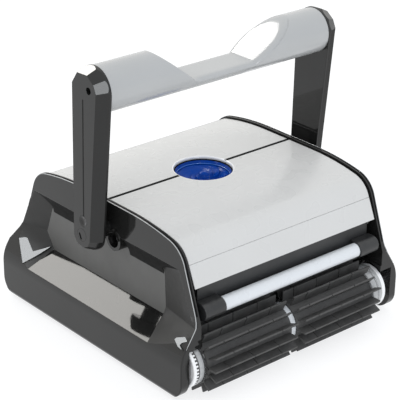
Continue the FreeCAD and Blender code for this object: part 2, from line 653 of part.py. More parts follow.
def loop_solid(x0, x1, y, z, r_wheel, r_pulley):
    """Solid inside an open belt between the pulley at (0, DRIVE_Z) and the wheel at (y, z)."""
    dy, dz = y, z - DRIVE_Z
    dist = math.hypot(dy, dz)
    along = math.atan2(dz, dy)
    spread = math.acos((r_pulley - r_wheel) / dist)
    corners = []
    for sign in (1, -1):
        a = along + sign * spread
        ends = [(r_pulley * math.cos(a), DRIVE_Z + r_pulley * math.sin(a)),
                (y + r_wheel * math.cos(a), z + r_wheel * math.sin(a))]
        corners += ends if sign == 1 else ends[::-1]
    return fused([prism_x(corners, x0, x1), rod_x(x0, x1, 0, DRIVE_Z, r_pulley), rod_x(x0, x1, y, z, r_wheel)])


def cable_gland():
    """Gland in the rear fascia; the cord itself is not part of the model."""
    slant = math.pi / 2 - FRONT_ANGLE
    y = -down_front(0, 166).y
    axis = V(0, math.cos(slant), math.sin(slant))
    base = V(70, y, 166)
    nut = Part.makeCylinder(11, 6, base, axis)
    nose = Part.makeCone(9, 6.5, 9, base + axis * 6, axis)
    stem = Part.makeCylinder(7, 10, base - axis * 9, axis)
    bore = Part.makeCylinder(4, 40, base - axis * 15, axis)
    return fused([nut, nose, stem]).cut(bore)


def rear_fascia():
    slant = math.pi / 2 - FRONT_ANGLE
    axis = V(0, math.cos(slant), math.sin(slant))
    base = V(70, -down_front(0, 166).y, 166)
    return mirror_y(fascia()).cut(Part.makeCylinder(7.1, 40, base - axis * 20, axis))


# ---------------------------------------------------------------- handle
def arm():
    """Left arm: tapered bar, flat facets round its outer face, leaning forward."""
    body = arm_slab(-ARM_IN, -ARM_OUT)
    for y, z, r, angles in ARM_FACETS:
        for degrees in angles:
            body = body.cut(facet(y, z, r, math.pi - math.radians(degrees)))
    top, bottom = ARM_FACETS[0][:3], ARM_FACETS[1][:3]
    for angle in tangent_angles(top, bottom):
        body = body.cut(facet(*bottom, angle))
    groove = Part.makePolygon([V(-ARM_OUT - 1, y, z) for y, z in
                               ((-10.9, 372), (-8.7, 372), (-4.9, 204), (-7.1, 204), (-10.9, 372))])
    body = body.cut(Part.Face(groove).extrude(V(1.9, 0, 0)))
    body = body.cut(rod_x(-ARM_OUT - 1, -ARM_IN - 6, GRIP_SCREW_Y, GRIP_SCREW_Z, 4.8))
    body = body.cut(rod_x(-ARM_OUT - 1, -ARM_IN + 1, GRIP_SCREW_Y, GRIP_SCREW_Z, 2.1))
    body = body.cut(rod_x(-ARM_OUT - 1, -ARM_IN + 1, PIVOT_Y, PIVOT_Z, PIVOT_R + 0.06))
    body = body.cut(rod_x(-ARM_OUT - 1, -ARM_OUT + 5, PIVOT_Y, PIVOT_Z, 9.3))
    body = body.cut(rod_x(-ARM_OUT - 1, -ARM_IN - 6, BUTTON_Y, BUTTON_Z, BUTTON_R))
    return body.cut(rod_x(-ARM_OUT - 1, -ARM_IN + 1, BUTTON_Y, BUTTON_Z, 2.56))


def facet(y, z, r, angle):
    """Block beyond a leaning plane that stands r from (y, z) at the arm's shoulder and draws in outwards."""
    depth = ARM_OUT - ARM_SHOULDER
    radial = V(0, math.cos(angle), math.sin(angle))
    normal = V(-ARM_BEVEL, depth * radial.y, depth * radial.z)
    block = Part.makeBox(800, 800, 60, V(-400, -400, 0))
    base = V(-ARM_SHOULDER, y + r * radial.y, z + r * radial.z)
    block.Placement = FreeCAD.Placement(base, FreeCAD.Rotation(V(0, 0, 1), normal)).multiply(block.Placement)
    return block


def tangent_angles(top, bottom):
    """Directions, from +Y towards +Z, square to the two straight sides of the arm."""
    (y1, z1, r1), (y0, z0, r0) = top, bottom
    along = math.atan2(z1 - z0, y1 - y0)
    spread = math.acos((r0 - r1) / math.hypot(y1 - y0, z1 - z0))
    return along + spread, along - spread


def arm_slab(x0, x1):
    """Bar between two planes, round at both ends."""
    top, bottom = ARM_FACETS[0][:3], ARM_FACETS[1][:3]
    left, right = tangent_angles(top, bottom)
    along = (left + right) / 2

    def on(circle, a):
        y, z, r = circle
        return V(x0, y + r * math.cos(a), z + r * math.sin(a))

    edges = [Part.Arc(on(top, right), on(top, along), on(top, left)).toShape(),
             Part.LineSegment(on(top, left), on(bottom, left)).toShape(),
             Part.Arc(on(bottom, left), on(bottom, along + math.pi), on(bottom, right)).toShape(),
             Part.LineSegment(on(bottom, right), on(top, right)).toShape()]
    return Part.Face(Part.Wire(edges)).extrude(V(x1 - x0, 0, 0))


def grip():
    """Float tube with a hand scoop cut into its top."""
    tube = rod_x(-ARM_IN + 0.1, ARM_IN - 0.1, GRIP_Y, GRIP_Z, GRIP_R)
    flat = GRIP_Z - 11
    over = GRIP_Z + GRIP_R + 4
    rise = over - flat
    scoop = prism_y([(-52, flat), (57, flat), (57 + rise * 1.62, over), (-52 - rise * 1.24, over)], -60, 60)
    holes = [rod_x(x, x + 17, GRIP_SCREW_Y, GRIP_SCREW_Z, 2) for x in (-ARM_IN - 1, ARM_IN - 16)]
    return tube.cut(scoop).cut(holes[0]).cut(holes[1])


def grip_screws():
    head = rod_x(-ARM_IN - 9, -ARM_IN - 6.1, GRIP_SCREW_Y, GRIP_SCREW_Z, 4)
    screw = head.fuse(rod_x(-ARM_IN - 7, -ARM_IN + 14, GRIP_SCREW_Y, GRIP_SCREW_Z, 1.9))
    return Part.makeCompound([screw, mirror_x(screw)])


def pivot_bolts():
    """Bolts fixed in the side panels; the arms turn on them."""
    shank = rod_x(-ARM_OUT + 5.3, -177, PIVOT_Y, PIVOT_Z, PIVOT_R)
    head = rod_x(-ARM_OUT + 1.2, -ARM_OUT + 4.7, PIVOT_Y, PIVOT_Z, 9)
    neck = rod_x(-ARM_OUT + 4.6, -ARM_OUT + 5.4, PIVOT_Y, PIVOT_Z, PIVOT_R)
    slot = box(-ARM_OUT, -ARM_OUT + 2.8, PIVOT_Y - 6, PIVOT_Y + 6, PIVOT_Z - 0.9, PIVOT_Z + 0.9)
    bolt = fused([shank, head, neck]).cut(slot)
    return Part.makeCompound([bolt, mirror_x(bolt)])


def lock_button():
    """Left release button in the arm's outer face."""
    cap = rod_x(-ARM_OUT + 1.0, -ARM_IN - 9, BUTTON_Y, BUTTON_Z, BUTTON_R - 0.08)
    stem = rod_x(-ARM_IN - 9.5, -ARM_IN - 1.5, BUTTON_Y, BUTTON_Z, 2.5)
    return fused([cap, stem])


# ---------------------------------------------------------------- all sub-parts
def main():
    front_lid, rear_lid = lid(False), mirror_y(lid(True))
    write("lid_front", front_lid)
    write("lid_rear", rear_lid)
    write("fascia_front", fascia())
    write("fascia_rear", rear_fascia())
    write("lid_seal", lid_seal())
    write("rim_gaskets", Part.makeCompound([rim_gasket(), mirror_x(rim_gasket())]))
    write("chassis_tub", chassis_tub())
    write("bottom_plate", bottom_plate())
    write("intake_flap_rear", intake_flap())
    write("intake_flap_front", mirror_y(intake_flap()))
    write("filter_bag_rear", filter_bag())
    write("filter_bag_front", mirror_y(filter_bag()))
    write("bag_frame_rear", bag_frame())
    write("bag_frame_front", mirror_y(bag_frame()))
    for end, y in (("front", -TAB_Y), ("rear", TAB_Y)):
        for side, x in (("left", -TAB_X), ("right", TAB_X)):
            write("lock_tab_" + end + "_" + side, lock_tab(x, y))

    panel, liner = side_panel(), pocket_liner()
    write("side_panel_left", panel)
    write("side_panel_right", mirror_x(panel))
    write("pocket_liner_left", liner)
    write("pocket_liner_right", mirror_x(liner))
    write("panel_screws", panel_screws())

    write("roller_core_front", roller_core())
    write("roller_core_rear", mirror_y(roller_core()))
    write("drive_wheel_front", drive_wheel("front"))
    write("drive_wheel_rear", mirror_y(drive_wheel("rear")))
    write("end_ring_front", end_ring())
    write("end_ring_rear", mirror_y(end_ring()))
    write("roller_bushes_front", roller_bushes("front"))
    write("roller_bushes_rear", mirror_y(roller_bushes("rear")))
    write("axle_front", axle("front"))
    write("axle_rear", mirror_y(axle("rear")))
    for side, span, slit in (("left", BRUSH_SPANS[0], -134.5), ("right", BRUSH_SPANS[1], 20.0)):
        sleeve = brush(span, slit)
        write("brush_front_" + side, sleeve)
        write("brush_rear_" + side, mirror_y(sleeve))

    write("bumper_bar_front", bumper_bar())
    write("bumper_bar_rear", mirror_y(bumper_bar()))
    write("bumper_blocks", Part.makeCompound(bumper_blocks() + [mirror_y(b) for b in bumper_blocks()]))

    write("outlet_cup", outlet_cup())
    write("impeller", impeller())
    write("impeller_shaft", impeller_shaft())
    write("motor_housing", motor_housing())
    write("motor_cover", motor_cover())
    write("shaft_seal", shaft_seal())
    write("pump_motor", pump_motor())
    write("drive_motor", drive_motor())
    write("control_board", control_board())
    write("drive_shaft", drive_shaft())
    write("drive_belt_front", belt("front", -1))
    write("drive_belt_rear", belt("rear", 1))
    write("cable_gland", cable_gland())

    write("handle_grip", grip())
    write("handle_arm_left", arm())
    write("handle_arm_right", mirror_x(arm()))
    write("grip_screws", grip_screws())
    write("pivot_bolts", pivot_bolts())
    write("lock_button_left", lock_button())
    write("lock_button_right", mirror_x(lock_button()))


main()
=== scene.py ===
"""Looks for the robotic pool cleaner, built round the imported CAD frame.

Row frame: X runs along the rollers, -Y is the front, +Z is up. Shapes are written in millimetres
and scaled by MM; materials, lights and the camera are in metres.
"""

import json
import math

import bmesh
import bpy
from mathutils import Matrix, Vector


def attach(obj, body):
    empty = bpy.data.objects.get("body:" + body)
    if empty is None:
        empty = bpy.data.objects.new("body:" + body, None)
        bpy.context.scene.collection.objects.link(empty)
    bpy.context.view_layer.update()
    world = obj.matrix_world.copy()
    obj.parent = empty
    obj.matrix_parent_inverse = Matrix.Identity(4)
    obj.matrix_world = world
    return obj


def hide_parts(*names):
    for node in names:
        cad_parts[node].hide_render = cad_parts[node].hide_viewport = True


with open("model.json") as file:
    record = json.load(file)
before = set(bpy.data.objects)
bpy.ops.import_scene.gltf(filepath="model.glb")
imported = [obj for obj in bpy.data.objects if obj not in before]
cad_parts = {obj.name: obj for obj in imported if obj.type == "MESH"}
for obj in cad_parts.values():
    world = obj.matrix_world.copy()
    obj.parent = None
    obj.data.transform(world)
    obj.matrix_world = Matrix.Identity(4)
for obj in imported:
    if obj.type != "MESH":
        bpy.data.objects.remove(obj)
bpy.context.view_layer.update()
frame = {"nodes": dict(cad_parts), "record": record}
NODES = frame["nodes"]
MM = 0.001
SIDES, ENDS = ("left", "right"), ("front", "rear")
SIGN = {"left": -1, "right": 1, "front": -1, "rear": 1}     # along X for a side, along Y for an end


# ------------------------------------------------------------------ materials
MIX_A, MIX_B, MIX_OUT = 6, 7, 2             # colour sockets of the Mix node
DUST = (0.55, 0.53, 0.5, 1)
BLOOM = (0.16, 0.155, 0.15, 1)              # chalky film on rubber


class Mat:
    """A procedural material: one Principled shader and the nodes that feed it."""

    def __init__(self, name):
        self.data = bpy.data.materials.new(name)
        self.data.use_nodes = True
        self.tree = self.data.node_tree
        self.tree.nodes.clear()
        out = self.node("ShaderNodeOutputMaterial")
        self.bsdf = self.node("ShaderNodeBsdfPrincipled")
        self.link(self.bsdf.outputs[0], out.inputs[0])
        self.coords = self.node("ShaderNodeTexCoord").outputs["Object"]

    def node(self, kind, **values):
        n = self.tree.nodes.new(kind)
        for key, value in values.items():
            setattr(n, key, value)
        return n

    def link(self, a, b):
        self.tree.links.new(a, b)

    def set(self, **sockets):
        for key, value in sockets.items():
            self.bsdf.inputs[key.replace("_", " ")].default_value = value

    def noise(self, size, detail=3.0, stretch=(1, 1, 1), rough=0.55):
        """Noise with features of the given size in metres."""
        place = self.node("ShaderNodeMapping")
        place.inputs["Scale"].default_value = stretch
        self.link(self.coords, place.inputs[0])
        n = self.node("ShaderNodeTexNoise")
        n.inputs["Scale"].default_value = 1.0 / size
        n.inputs["Detail"].default_value = detail
        n.inputs["Roughness"].default_value = rough
        self.link(place.outputs[0], n.inputs["Vector"])
        return n.outputs[0]

    def span(self, source, low, high, start=0.3, end=0.7):
        """Source mapped from start..end to low..high."""
        n = self.node("ShaderNodeMapRange")
        for key, value in (("From Min", start), ("From Max", end), ("To Min", low), ("To Max", high)):
            n.inputs[key].default_value = value
        self.link(source, n.inputs["Value"])
        return n.outputs[0]

    def math(self, kind, a, b):
        n = self.node("ShaderNodeMath", operation=kind)
        for i, value in enumerate((a, b)):
            if isinstance(value, (int, float)):
                n.inputs[i].default_value = value
            else:
                self.link(value, n.inputs[i])
        return n.outputs[0]

    def mix(self, factor, a, b):
        n = self.node("ShaderNodeMix", data_type="RGBA")
        for socket, value in ((n.inputs["Factor"], factor), (n.inputs[MIX_A], a), (n.inputs[MIX_B], b)):
            if isinstance(value, (tuple, float, int)):
                socket.default_value = value
            else:
                self.link(value, socket)
        return n.outputs[MIX_OUT]

    def bump(self, *layers):
        """Layers are (height socket, depth in metres)."""
        normal = None
        for height, depth in layers:
            n = self.node("ShaderNodeBump")
            n.inputs["Strength"].default_value = 1.0
            n.inputs["Distance"].default_value = depth
            self.link(height, n.inputs["Height"])
            if normal is not None:
                self.link(normal, n.inputs["Normal"])
            normal = n.outputs[0]
        self.link(normal, self.bsdf.inputs["Normal"])


def rgba(c, k):
    return (c[0] * k, c[1] * k, c[2] * k, 1.0)


def plastic(name, colour, rough, grain=0.0, wave=0.0, cloud=0.05, coat=0.0, ior=1.5, dust=0.0,
            scratch=0.0, fine=5.0):
    """Moulded plastic: cloudy tone, uneven polish, sink waviness, spark-eroded grain, dust and scuffs."""
    m = Mat(name)
    clouds = m.noise(0.07, min(fine, 4.0))
    tone = m.mix(m.span(clouds, 0.0, 1.0), rgba(colour, 1 - cloud), rgba(colour, 1 + cloud))
    if dust:
        up = m.node("ShaderNodeSeparateXYZ")
        geo = m.node("ShaderNodeNewGeometry")
        m.link(geo.outputs["Normal"], up.inputs[0])
        lying = m.span(up.outputs[2], 0.0, 1.0, 0.2, 0.95)
        patches = m.span(m.noise(0.012, 8.0, rough=0.7), 0.0, 1.0, 0.42, 0.75)
        tone = m.mix(m.math("MULTIPLY", m.math("MULTIPLY", lying, patches), dust), tone, DUST)
    m.link(tone, m.bsdf.inputs["Base Color"])
    polish = m.span(m.noise(0.02, fine), rough * 0.85, rough * 1.18)
    if scratch:
        lines = m.span(m.noise(0.0016, 2.0, stretch=(1, 0.04, 0.6)), 0.0, scratch, 0.62, 0.75)
        polish = m.math("ADD", polish, lines)
    m.link(polish, m.bsdf.inputs["Roughness"])
    layers = []
    if wave:
        layers.append((m.noise(0.022, 1.0), wave))
    if grain:
        layers.append((m.noise(0.0007, 2.0), grain))
    if layers:
        m.bump(*layers)
    m.set(IOR=ior, Coat_Weight=coat, Coat_Roughness=0.03)
    return m.data


def rubber(name, colour, rough=0.62):
    m = Mat(name)
    fine = m.noise(0.0009, 6.0, rough=0.65)
    broad = m.noise(0.016, 5.0)
    tone = m.mix(m.span(broad, 0.0, 1.0), rgba(colour, 0.82), rgba(colour, 1.22))
    bloom = m.span(m.noise(0.004, 8.0, rough=0.75), 0.0, 0.22, 0.5, 0.8)
    tone = m.mix(bloom, tone, BLOOM)
    m.link(tone, m.bsdf.inputs["Base Color"])
    m.link(m.span(broad, rough * 0.88, rough * 1.12), m.bsdf.inputs["Roughness"])
    m.bump((broad, 0.0001), (fine, 0.00004))
    m.set(IOR=1.5)
    return m.data


def steel(name, rough=0.28):
    m = Mat(name)
    brushed = m.noise(0.0012, 3.0, stretch=(0.05, 1, 1))
    tone = m.mix(m.span(brushed, 0.0, 1.0), (0.46, 0.46, 0.47, 1), (0.62, 0.62, 0.63, 1))
    m.link(tone, m.bsdf.inputs["Base Color"])
    m.link(m.span(brushed, rough * 0.7, rough * 1.3), m.bsdf.inputs["Roughness"])
    m.bump((brushed, 0.00001))
    m.set(Metallic=1.0)
    return m.data


def mesh_cloth(name):
    """Fine woven filter cloth."""
    m = Mat(name)
    threads = []
    for direction in ("X", "Z"):
        w = m.node("ShaderNodeTexWave", bands_direction=direction)
        w.inputs["Scale"].default_value = 330.0
        w.inputs["Distortion"].default_value = 0.4
        m.link(m.coords, w.inputs["Vector"])
        threads.append(w.outputs[1])
    weave = m.math("MULTIPLY", threads[0], threads[1])
    stain = m.span(m.noise(0.03, 5.0), 0.0, 0.5)
    tone = m.mix(weave, (0.32, 0.32, 0.3, 1), (0.66, 0.66, 0.63, 1))
    m.link(m.mix(stain, tone, (0.36, 0.34, 0.26, 1)), m.bsdf.inputs["Base Color"])
    m.bump((weave, 0.00012))
    m.set(Roughness=0.85)
    return m.data


M = {
    "white_plastic": plastic("white_plastic", (0.645, 0.647, 0.64), 0.30, wave=0.000004, cloud=0.008,
                             coat=0.15, fine=0.0),
    "white_bright": plastic("white_bright", (0.90, 0.91, 0.92), 0.25, wave=0.000008, cloud=0.02, coat=0.3),
    "white_tube": plastic("white_tube", (0.72, 0.75, 0.78), 0.30, wave=0.000008, cloud=0.015),
    "dark_gloss": plastic("dark_gloss", (0.0135, 0.0136, 0.0132), 0.055, wave=0.000003, cloud=0.12, ior=1.43,
                          dust=0.004, scratch=0.02),
    "dark_satin": plastic("dark_satin", (0.0185, 0.0185, 0.018), 0.38, grain=0.000004, cloud=0.10, ior=1.43),
    "dark_matt": plastic("dark_matt", (0.020, 0.021, 0.022), 0.40, grain=0.00002, cloud=0.10, dust=0.04),
    "grey_plastic": plastic("grey_plastic", (0.088, 0.088, 0.085), 0.40, grain=0.00001, cloud=0.05,
                            dust=0.03),
    "silver_plastic": plastic("silver_plastic", (0.435, 0.445, 0.45), 0.20, wave=0.00001, cloud=0.02,
                              coat=0.25),
    "blue_plastic": plastic("blue_plastic", (0.002, 0.049, 0.325), 0.12, wave=0.00001, cloud=0.12, ior=1.16),
    # light blue used only for the painted highlight on the duct's step
    "painted_highlight_blue": plastic("painted_highlight_blue", (0.05, 0.21, 0.66), 0.10, wave=0.00001, cloud=0.08, coat=0.3),
    # near-black for the real seals, also used as painted shade in the lid groove, round the duct and in the
    # pivot slots
    "seal_and_painted_shade_black": plastic("seal_and_painted_shade_black", (0.010, 0.010, 0.010), 0.7, grain=0.00001, cloud=0.2, ior=1.12),
    # near-black matt used only for the painted shade under the pocket brows
    "painted_shade_matt": plastic("painted_shade_matt", (0.012, 0.012, 0.012), 0.55, grain=0.00001, cloud=0.12, ior=1.2),
    "black_rubber": rubber("black_rubber", (0.062, 0.0615, 0.0605)),
    "steel": steel("steel"),
    "bush_plastic": plastic("bush_plastic", (0.09, 0.09, 0.09), 0.45, grain=0.00001, cloud=0.08),
    "bag_fabric": mesh_cloth("bag_fabric"),
}
SLOTS = {row["node"]: row["material_slot"] for row in frame["record"]["subparts"]}
BODY = {n: body for body, nodes in frame["record"]["behaviour"]["bodies"].items() for n in nodes}


def paint(obj, slot):
    obj.data.materials.clear()
    obj.data.materials.append(M[slot])


for node, obj in NODES.items():
    paint(obj, SLOTS[node])
NODES["rim_gaskets"].data.materials[0] = M["seal_and_painted_shade_black"]


# ------------------------------------------------------------------ mesh helpers
CAD_WELD, RING_WELD = 2e-6, 1e-7            # metres: joins CAD vertices, closes turned shapes
FLAT = math.radians(0.4)                    # faces that meet at less than this are merged
SHORT_EDGE = 1.2                            # edges under this many bevel widths stay hard


def finish_mesh(bm, name, slot, smooth=35.0, look=None):
    """Turns a bmesh into an object with sharp edges above the given angle. Look names the material
    shown where it isn't the slot's own."""
    bmesh.ops.recalc_face_normals(bm, faces=bm.faces)
    data = bpy.data.meshes.new(name)
    bm.to_mesh(data)
    bm.free()
    data.shade_smooth()
    data.set_sharp_from_angle(angle=math.radians(smooth))
    obj = bpy.data.objects.new(name, data)
    bpy.context.scene.collection.objects.link(obj)
    paint(obj, slot)
    if look:
        obj.data.materials[0] = M[look]
    return obj


def stand_for(obj, *nodes):
    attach(obj, BODY[nodes[0]])
    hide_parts(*nodes)
    return obj


def clean_copy(node):
    """The CAD mesh with its flat faces merged."""
    bm = bmesh.new()
    bm.from_mesh(NODES[node].data)
    bmesh.ops.remove_doubles(bm, verts=bm.verts, dist=CAD_WELD)
    bmesh.ops.dissolve_limit(bm, angle_limit=FLAT, verts=bm.verts, edges=bm.edges,
                             use_dissolve_boundaries=False)
    return bm


def softened(node, width, limit=32.0, smooth=35.0):
    """CAD copy whose edges sharper than limit degrees are rounded, width in mm."""
    bm = clean_copy(node)
    bm.edges.ensure_lookup_table()
    hard = [e for e in bm.edges if len(e.link_faces) == 2
            and e.calc_face_angle(0) > math.radians(limit)
            and e.calc_length() > width * MM * SHORT_EDGE]
    bmesh.ops.bevel(bm, geom=hard, offset=width * MM, offset_type="OFFSET", segments=2,
                    profile=0.5, affect="EDGES", clamp_overlap=False, loop_slide=True)
    obj = finish_mesh(bm, node + "_look", SLOTS[node], smooth)
    weights = obj.modifiers.new("weights", "WEIGHTED_NORMAL")
    weights.keep_sharp = True
    return stand_for(obj, node)


# ------------------------------------------------------------------ camera, floor, light
AZIMUTH, ELEVATION, ROLL = math.radians(-40.9416), math.radians(24.6735), math.radians(0.6684)
DISTANCE, SHIFT_RIGHT, SHIFT_UP = 2.1697, -0.00406, 0.01486
FOCAL_PX, FRAME_PX, SENSOR_MM = 1530.87, 400.0, 36.0
AIM_Z = 0.15
CARD_DISTANCE = 2.6
WARM, COOL = (1, 0.98, 0.94), (0.95, 0.98, 1.0)
SKY_FRONT, SKY_BACK = (0.89, 0.925, 0.975, 1), (1.08, 1.065, 1.03, 1)
SKY_BELOW, SKY_ABOVE = 0.92, 1.14
FLOOR_HALF = 12.0
FLAG_X, FLAG_Y, FLAG_Z = (0.55, 2.6), (-0.25, 2.2), 0.002


def add_camera():
    back = Vector((math.sin(AZIMUTH) * math.cos(ELEVATION), -math.cos(AZIMUTH) * math.cos(ELEVATION),
                   math.sin(ELEVATION)))
    right = Vector((math.cos(AZIMUTH), math.sin(AZIMUTH), 0))
    up = back.cross(right)
    place = Vector((0, 0, AIM_Z)) + back * DISTANCE + right * SHIFT_RIGHT + up * SHIFT_UP
    c, s = math.cos(ROLL), math.sin(ROLL)
    rows = (right * c + up * s, up * c - right * s, back)
    turn = Matrix(rows).transposed()
    data = bpy.data.cameras.new("camera")
    data.sensor_width = SENSOR_MM
    data.lens = FOCAL_PX / FRAME_PX * SENSOR_MM
    data.clip_start, data.clip_end = 0.05, 60.0
    cam = bpy.data.objects.new("camera", data)
    cam.matrix_world = Matrix.Translation(place) @ turn.to_4x4()
    bpy.context.scene.collection.objects.link(cam)
    bpy.context.scene.camera = cam


def add_card(name, at, direction, size, radiance, tint):
    """Softbox that shows only in reflections, placed in the given direction from the point at."""
    data = bpy.data.lights.new(name, "AREA")
    data.shape = "RECTANGLE"
    data.size, data.size_y = size
    data.energy = radiance * math.pi * size[0] * size[1]
    data.color = tint
    light = bpy.data.objects.new(name, data)
    d = Vector(direction).normalized()
    light.location = Vector(at) + d * CARD_DISTANCE
    light.rotation_euler = d.to_track_quat("Z", "Y").to_euler()
    light.visible_camera = False
    light.visible_diffuse = False
    bpy.context.scene.collection.objects.link(light)


def add_world():
    """Pale surround: cool in front, warm behind, brighter above."""
    world = bpy.data.worlds.new("studio")
    bpy.context.scene.world = world
    world.use_nodes = True
    tree = world.node_tree
    coords = tree.nodes.new("ShaderNodeTexCoord")
    split = tree.nodes.new("ShaderNodeSeparateXYZ")
    blend = tree.nodes.new("ShaderNodeMapRange")
    tint = tree.nodes.new("ShaderNodeMix")
    tint.data_type = "RGBA"
    blend.inputs["From Min"].default_value = -1.0
    tint.inputs[MIX_A].default_value = SKY_FRONT
    tint.inputs[MIX_B].default_value = SKY_BACK
    tree.links.new(coords.outputs["Generated"], split.inputs[0])
    tree.links.new(split.outputs[1], blend.inputs["Value"])
    tree.links.new(blend.outputs[0], tint.inputs[0])
    tree.links.new(tint.outputs[MIX_OUT], tree.nodes["Background"].inputs[0])
    height = tree.nodes.new("ShaderNodeMapRange")
    for name, value in (("From Min", -1.0), ("To Min", SKY_BELOW), ("To Max", SKY_ABOVE)):
        height.inputs[name].default_value = value
    tree.links.new(split.outputs[2], height.inputs["Value"])
    tree.links.new(height.outputs[0], tree.nodes["Background"].inputs[1])


def add_floor():
    floor_bm = bmesh.new()
    bmesh.ops.create_grid(floor_bm, x_segments=1, y_segments=1, size=FLOOR_HALF)
    data = bpy.data.meshes.new("floor")
    floor_bm.to_mesh(data)
    floor_bm.free()
    floor = bpy.data.objects.new("floor", data)
    m = Mat("floor_paper")
    tone = m.mix(m.span(m.noise(0.004, 4.0), 0, 1), (0.27, 0.27, 0.27, 1), (0.29, 0.29, 0.29, 1))
    m.link(tone, m.bsdf.inputs["Base Color"])
    m.set(Roughness=0.9, Emission_Color=(0.995, 1.0, 1.01, 1), Emission_Strength=0.77)
    data.materials.append(m.data)
    bpy.context.scene.collection.objects.link(floor)


def add_cards():
    add_card("card_behind", (-0.05, 0.0, 0.2), (-0.05, 0.69, 0.72), (1.3, 0.9), 7.5, WARM)
    add_card("card_arm_top", (-0.2, -0.01, 0.412), (0.13, 0.80, 0.58), (0.45, 0.4), 6.5, WARM)
    add_card("card_arm_front", (-0.203, -0.039, 0.394), (-0.275, -0.87, 0.405), (0.8, 0.7), 7.0, COOL)
    add_card("card_left", (-0.183, 0.162, 0.084), (-0.535, 0.195, 0.822), (0.5, 0.4), 15.0, COOL)
    add_card("card_low", (-0.191, -0.179, 0.085), (-0.386, 0.829, 0.405), (0.3, 0.26), 11.0, COOL)


def add_flag():
    """Dark cloth on the floor to the right, seen only in reflections."""
    (x0, x1), (y0, y1) = FLAG_X, FLAG_Y
    flag = bpy.data.meshes.new("flag")
    flag.from_pydata([(x0, y0, FLAG_Z), (x1, y0, FLAG_Z), (x1, y1, FLAG_Z), (x0, y1, FLAG_Z)], [],
                     [(0, 1, 2, 3)])
    shade = Mat("flag_cloth")
    shade.set(Roughness=1.0, Emission_Color=(1, 1, 1, 1), Emission_Strength=0.12,
              Base_Color=(0.05, 0.05, 0.05, 1))
    flag.materials.append(shade.data)
    cloth = bpy.data.objects.new("flag", flag)
    cloth.visible_camera = cloth.visible_diffuse = cloth.visible_shadow = False
    bpy.context.scene.collection.objects.link(cloth)


add_camera()
add_world()
add_floor()
add_cards()
add_flag()
scene = bpy.context.scene
scene.view_settings.view_transform = "Standard"
scene.view_settings.look = "None"


# ------------------------------------------------------------------ swept and turned shapes
def angles(steps):
    return [2 * math.pi * i / steps for i in range(steps)]


def ramp(value, length):
    return min(max(value / length, 0.0), 1.0)


def ring_sheet(bm, rings, closed=True):
    """Skins a list of vertex loops of equal length."""
    loops = [[bm.verts.new(p) for p in ring] for ring in rings]
    n = len(loops[0])
    for a, b in zip(loops, loops[1:]):
        for i in range(n if closed else n - 1):
            j = (i + 1) % n
            bm.faces.new((a[i], a[j], b[j], b[i]))
    return loops


def capped(bm, rings):
    """Skins the rings and closes both ends."""
    loops = ring_sheet(bm, rings)
    bm.faces.new(loops[0])
    bm.faces.new(loops[-1])


def turned(bm, profile, place, steps):
    """Surface of revolution. Profile holds (along, radius) in mm; place maps (along, radius, angle)
    to a point."""
    rings = [[place(a, r, t) for t in angles(steps)] for a, r in profile]
    ring_sheet(bm, rings + rings[:1])
    bmesh.ops.remove_doubles(bm, verts=bm.verts, dist=RING_WELD)


def turned_trim(name, slot, body, place, steps, profiles, smooth=40, look=None):
    """Small turned piece that has no CAD node."""
    bm = bmesh.new()
    for profile in profiles:
        turned(bm, profile, place, steps)
    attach(finish_mesh(bm, name, slot, smooth, look), body)


def about_x(y, z):
    return lambda a, r, t: Vector((a, y + r * math.sin(t), z + r * math.cos(t))) * MM


def about_z(x, y):
    return lambda a, r, t: Vector((x + r * math.cos(t), y + r * math.sin(t), a)) * MM


def soft_min(a, b, k):
    h = max(k - abs(a - b), 0.0) / k
    return min(a, b) - h * h * k / 4


# ------------------------------------------------------------------ handle grip
GRIP_HALF, GRIP_Y, GRIP_Z, GRIP_R = 192.9, -12.0, 381.7, 32.2
SCOOP_Z, SCOOP_X = 370.7, (-52.0, 57.0)
SCOOP_RUN = (1.24, 1.62)                # run over rise of both ends


def grip():
    """Float tube with a hand scoop: crisp towards the left, rolling over softly towards the right."""
    def cut_height(x):
        return SCOOP_Z + max(0.0, (SCOOP_X[0] - x) / SCOOP_RUN[0], (x - SCOOP_X[1]) / SCOOP_RUN[1])

    def softness(x):
        """Blend width between the round tube and the scoop."""
        if x < SCOOP_X[0]:
            return 1.2
        return 4.0 + 4.5 * ramp(x - SCOOP_X[1], 12.0)

    def edge_round(x):
        """Drop of the scoop's long edges below its middle."""
        return 0.8 + 4.4 * ramp(x - SCOOP_X[0] + 3.0, 14.0)

    steps, slices = 180, 270
    rings = []
    for i in range(slices + 1):
        x = -GRIP_HALF + 2 * GRIP_HALF * i / slices
        top, sag = cut_height(x) - GRIP_Z, edge_round(x)
        brink = math.acos(min(max((top - sag) / GRIP_R, -1.0), 1.0))
        ring = []
        for j in range(steps):
            a = 2 * math.pi * (j / steps if 2 * j <= steps else j / steps - 1.0)
            y, z = GRIP_R * math.sin(a), GRIP_R * math.cos(a)
            if abs(a) < brink:
                u = a / brink
                y = GRIP_R * math.sin(brink) * u
                round_z = math.sqrt(max(GRIP_R ** 2 - y ** 2, 0.0))
                z = soft_min(round_z, top - sag * abs(u) ** 12, softness(x))
            ring.append(Vector((x, GRIP_Y + y, GRIP_Z + z)) * MM)
        rings.append(ring)
    bm = bmesh.new()
    capped(bm, rings)
    stand_for(finish_mesh(bm, "grip_look", "silver_plastic", 60), "handle_grip")


# ------------------------------------------------------------------ driven wheels
AXLE_Y, AXLE_Z = 171.9, 46.2
TEETH, TOOTH_SHARE = 40, 0.27               # teeth, and half a tooth's share of the pitch
WHEEL_STEPS, RING_STEPS, CUP_STEPS = 120, 96, 144
TRACKS = {"front": (-187.0, -183.0, -178.4), "rear": (-184.5, -177.6, -173.0)}


